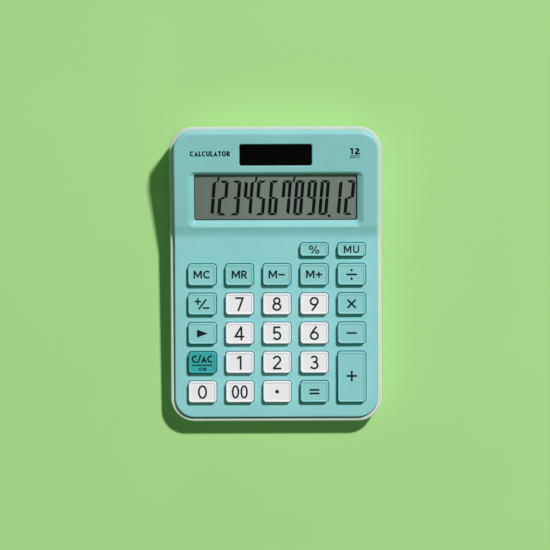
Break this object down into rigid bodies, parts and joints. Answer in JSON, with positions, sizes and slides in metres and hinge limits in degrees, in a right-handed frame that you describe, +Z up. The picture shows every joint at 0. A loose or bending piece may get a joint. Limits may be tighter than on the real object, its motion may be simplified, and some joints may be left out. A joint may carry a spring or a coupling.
{
  "type": "desk calculator",
  "caption": "Solar-assisted desk calculator with sprung keys, a liquid crystal display on a raised sloping deck, and a tray-shaped lower case.",
  "frame": {"origin": "centre of the footprint, on the surface the feet stand on", "axes": "+X to the user's right, +Y to the rear edge with the display, +Z up"},
  "size_m": [0.1064, 0.148, 0.029],
  "materials": {
    "case_turquoise": "fine satin grain",
    "case_white": "fine satin grain",
    "key_turquoise": "satin",
    "key_teal": "satin",
    "key_white": "satin",
    "legend_ink": "printed ink",
    "lcd_ink": "liquid crystal segments",
    "feet_rubber": "matte",
    "screw_steel": "zinc plated",
    "battery_steel": "nickel plated",
    "contact_metal": "nickel plated spring strip",
    "lead_insulation": "smooth insulation",
    "window_clear": "clear polished acrylic",
    "window_smoked": "smoked polished acrylic",
    "lcd_glass": "polished glass with polariser",
    "lcd_reflector": "grey-green satin film",
    "bracket_plastic": "moulded",
    "ribbon_film": "amber film",
    "gasket_foam": "foam",
    "solar_glass": "dark glass",
    "mat_silicone": "translucent silicone",
    "board_laminate": "lacquered laminate",
    "pad_carbon": "printed carbon",
    "chip_epoxy": "epoxy blob",
    "capacitor_sleeve": "shrink sleeve",
    "capacitor_ceramic": "fired ceramic"
  },
  "bodies": {
    "case": {"top_case": "case_turquoise", "bottom_case": "case_white", "rubber_feet": "feet_rubber", "case_screws": "screw_steel", "battery_cover": "case_white", "battery_cover_screw": "screw_steel", "battery": "battery_steel", "battery_contact_negative": "contact_metal", "battery_contact_positive": "contact_metal", "battery_leads": "lead_insulation", "display_window": "window_clear", "lcd_front_glass": "lcd_glass", "lcd_rear_glass": "lcd_glass", "lcd_reflector": "lcd_reflector", "lcd_bracket": "bracket_plastic", "lcd_bracket_screws": "screw_steel", "lcd_ribbon": "ribbon_film", "solar_window": "window_smoked", "solar_gasket": "gasket_foam", "solar_cell": "solar_glass", "solar_leads": "lead_insulation", "keypad_mat": "mat_silicone", "main_pcb": "board_laminate", "pcb_key_pads": "pad_carbon", "pcb_screws": "screw_steel", "chip_blob": "chip_epoxy", "electrolytic_capacitor": "capacitor_sleeve", "ceramic_capacitors": "capacitor_ceramic"},
    "key_percent": {"key_percent": "key_turquoise"},
    "key_markup": {"key_markup": "key_turquoise"},
    "key_memory_clear": {"key_memory_clear": "key_turquoise"},
    "key_memory_recall": {"key_memory_recall": "key_turquoise"},
    "key_memory_minus": {"key_memory_minus": "key_turquoise"},
    "key_memory_plus": {"key_memory_plus": "key_turquoise"},
    "key_divide": {"key_divide": "key_turquoise"},
    "key_sign": {"key_sign": "key_turquoise"},
    "key_7": {"key_7": "key_white"},
    "key_8": {"key_8": "key_white"},
    "key_9": {"key_9": "key_white"},
    "key_multiply": {"key_multiply": "key_turquoise"},
    "key_backspace": {"key_backspace": "key_turquoise"},
    "key_4": {"key_4": "key_white"},
    "key_5": {"key_5": "key_white"},
    "key_6": {"key_6": "key_white"},
    "key_minus": {"key_minus": "key_turquoise"},
    "key_clear_on": {"key_clear_on": "key_teal"},
    "key_1": {"key_1": "key_white"},
    "key_2": {"key_2": "key_white"},
    "key_3": {"key_3": "key_white"},
    "key_plus": {"key_plus": "key_turquoise"},
    "key_0": {"key_0": "key_white"},
    "key_00": {"key_00": "key_white"},
    "key_point": {"key_point": "key_white"},
    "key_equals": {"key_equals": "key_turquoise"}
  },
  "joints": [
    {"name": "key_percent_press", "type": "slide", "parent": "case", "child": "key_percent", "axis": [0, 0.0366, -0.9993], "range_m": [0, 0.0015], "stiffness_N_per_m": 350, "springref_m": -0.0004, "deforming": ["keypad_mat"]},
    {"name": "key_markup_press", "type": "slide", "parent": "case", "child": "key_markup", "axis": [0, 0.0366, -0.9993], "range_m": [0, 0.0015], "stiffness_N_per_m": 350, "springref_m": -0.0004, "deforming": ["keypad_mat"]},
    {"name": "key_memory_clear_press", "type": "slide", "parent": "case", "child": "key_memory_clear", "axis": [0, 0.0366, -0.9993], "range_m": [0, 0.0015], "stiffness_N_per_m": 350, "springref_m": -0.0004, "deforming": ["keypad_mat"]},
    {"name": "key_memory_recall_press", "type": "slide", "parent": "case", "child": "key_memory_recall", "axis": [0, 0.0366, -0.9993], "range_m": [0, 0.0015], "stiffness_N_per_m": 350, "springref_m": -0.0004, "deforming": ["keypad_mat"]},
    {"name": "key_memory_minus_press", "type": "slide", "parent": "case", "child": "key_memory_minus", "axis": [0, 0.0366, -0.9993], "range_m": [0, 0.0015], "stiffness_N_per_m": 350, "springref_m": -0.0004, "deforming": ["keypad_mat"]},
    {"name": "key_memory_plus_press", "type": "slide", "parent": "case", "child": "key_memory_plus", "axis": [0, 0.0366, -0.9993], "range_m": [0, 0.0015], "stiffness_N_per_m": 350, "springref_m": -0.0004, "deforming": ["keypad_mat"]},
    {"name": "key_divide_press", "type": "slide", "parent": "case", "child": "key_divide", "axis": [0, 0.0366, -0.9993], "range_m": [0, 0.0015], "stiffness_N_per_m": 350, "springref_m": -0.0004, "deforming": ["keypad_mat"]},
    {"name": "key_sign_press", "type": "slide", "parent": "case", "child": "key_sign", "axis": [0, 0.0366, -0.9993], "range_m": [0, 0.0015], "stiffness_N_per_m": 350, "springref_m": -0.0004, "deforming": ["keypad_mat"]},
    {"name": "key_7_press", "type": "slide", "parent": "case", "child": "key_7", "axis": [0, 0.0366, -0.9993], "range_m": [0, 0.0015], "stiffness_N_per_m": 350, "springref_m": -0.0004, "deforming": ["keypad_mat"]},
    {"name": "key_8_press", "type": "slide", "parent": "case", "child": "key_8", "axis": [0, 0.0366, -0.9993], "range_m": [0, 0.0015], "stiffness_N_per_m": 350, "springref_m": -0.0004, "deforming": ["keypad_mat"]},
    {"name": "key_9_press", "type": "slide", "parent": "case", "child": "key_9", "axis": [0, 0.0366, -0.9993], "range_m": [0, 0.0015], "stiffness_N_per_m": 350, "springref_m": -0.0004, "deforming": ["keypad_mat"]},
    {"name": "key_multiply_press", "type": "slide", "parent": "case", "child": "key_multiply", "axis": [0, 0.0366, -0.9993], "range_m": [0, 0.0015], "stiffness_N_per_m": 350, "springref_m": -0.0004, "deforming": ["keypad_mat"]},
    {"name": "key_backspace_press", "type": "slide", "parent": "case", "child": "key_backspace", "axis": [0, 0.0366, -0.9993], "range_m": [0, 0.0015], "stiffness_N_per_m": 350, "springref_m": -0.0004, "deforming": ["keypad_mat"]},
    {"name": "key_4_press", "type": "slide", "parent": "case", "child": "key_4", "axis": [0, 0.0366, -0.9993], "range_m": [0, 0.0015], "stiffness_N_per_m": 350, "springref_m": -0.0004, "deforming": ["keypad_mat"]},
    {"name": "key_5_press", "type": "slide", "parent": "case", "child": "key_5", "axis": [0, 0.0366, -0.9993], "range_m": [0, 0.0015], "stiffness_N_per_m": 350, "springref_m": -0.0004, "deforming": ["keypad_mat"]},
    {"name": "key_6_press", "type": "slide", "parent": "case", "child": "key_6", "axis": [0, 0.0366, -0.9993], "range_m": [0, 0.0015], "stiffness_N_per_m": 350, "springref_m": -0.0004, "deforming": ["keypad_mat"]},
    {"name": "key_minus_press", "type": "slide", "parent": "case", "child": "key_minus", "axis": [0, 0.0366, -0.9993], "range_m": [0, 0.0015], "stiffness_N_per_m": 350, "springref_m": -0.0004, "deforming": ["keypad_mat"]},
    {"name": "key_clear_on_press", "type": "slide", "parent": "case", "child": "key_clear_on", "axis": [0, 0.0366, -0.9993], "range_m": [0, 0.0015], "stiffness_N_per_m": 350, "springref_m": -0.0004, "deforming": ["keypad_mat"]},
    {"name": "key_1_press", "type": "slide", "parent": "case", "child": "key_1", "axis": [0, 0.0366, -0.9993], "range_m": [0, 0.0015], "stiffness_N_per_m": 350, "springref_m": -0.0004, "deforming": ["keypad_mat"]},
    {"name": "key_2_press", "type": "slide", "parent": "case", "child": "key_2", "axis": [0, 0.0366, -0.9993], "range_m": [0, 0.0015], "stiffness_N_per_m": 350, "springref_m": -0.0004, "deforming": ["keypad_mat"]},
    {"name": "key_3_press", "type": "slide", "parent": "case", "child": "key_3", "axis": [0, 0.0366, -0.9993], "range_m": [0, 0.0015], "stiffness_N_per_m": 350, "springref_m": -0.0004, "deforming": ["keypad_mat"]},
    {"name": "key_plus_press", "type": "slide", "parent": "case", "child": "key_plus", "axis": [0, 0.0366, -0.9993], "range_m": [0, 0.0015], "stiffness_N_per_m": 350, "springref_m": -0.0004, "deforming": ["keypad_mat"]},
    {"name": "key_0_press", "type": "slide", "parent": "case", "child": "key_0", "axis": [0, 0.0366, -0.9993], "range_m": [0, 0.0015], "stiffness_N_per_m": 350, "springref_m": -0.0004, "deforming": ["keypad_mat"]},
    {"name": "key_00_press", "type": "slide", "parent": "case", "child": "key_00", "axis": [0, 0.0366, -0.9993], "range_m": [0, 0.0015], "stiffness_N_per_m": 350, "springref_m": -0.0004, "deforming": ["keypad_mat"]},
    {"name": "key_point_press", "type": "slide", "parent": "case", "child": "key_point", "axis": [0, 0.0366, -0.9993], "range_m": [0, 0.0015], "stiffness_N_per_m": 350, "springref_m": -0.0004, "deforming": ["keypad_mat"]},
    {"name": "key_equals_press", "type": "slide", "parent": "case", "child": "key_equals", "axis": [0, 0.0366, -0.9993], "range_m": [0, 0.0015], "stiffness_N_per_m": 350, "springref_m": -0.0004, "deforming": ["keypad_mat"]}
  ]
}
